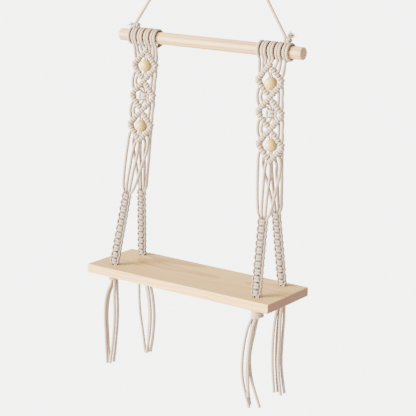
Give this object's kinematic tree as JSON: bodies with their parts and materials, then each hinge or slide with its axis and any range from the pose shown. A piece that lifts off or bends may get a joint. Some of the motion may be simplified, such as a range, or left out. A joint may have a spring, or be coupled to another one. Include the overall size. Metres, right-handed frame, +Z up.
{
  "type": "knotted cord wall shelf with its dowel and board",
  "caption": "Wall shelf: a wooden board hangs from a dowel in knotted cotton cord sides with wooden beads, diamond knotting, square-knot legs and loose fringe ends below.",
  "frame": {"origin": "the underside of the hanging cord at its highest point, where it rests on its nail", "axes": "+X along the board to the right seen from the front, +Y to the wall, +Z up"},
  "size_m": [0.4, 0.13, 0.8878],
  "materials": {
    "pine": "planed, matt",
    "dowel_wood": "sanded, matt",
    "bead_wood": "turned, satin",
    "cotton": "soft unbleached cord"
  },
  "bodies": {
    "root": {"board": "pine", "dowel": "dowel_wood", "hanging_cord": "cotton", "macrame_left": "cotton", "macrame_right": "cotton", "bead_left_upper": "bead_wood", "bead_left_lower": "bead_wood", "bead_right_upper": "bead_wood", "bead_right_lower": "bead_wood"}
  },
  "joints": []
}
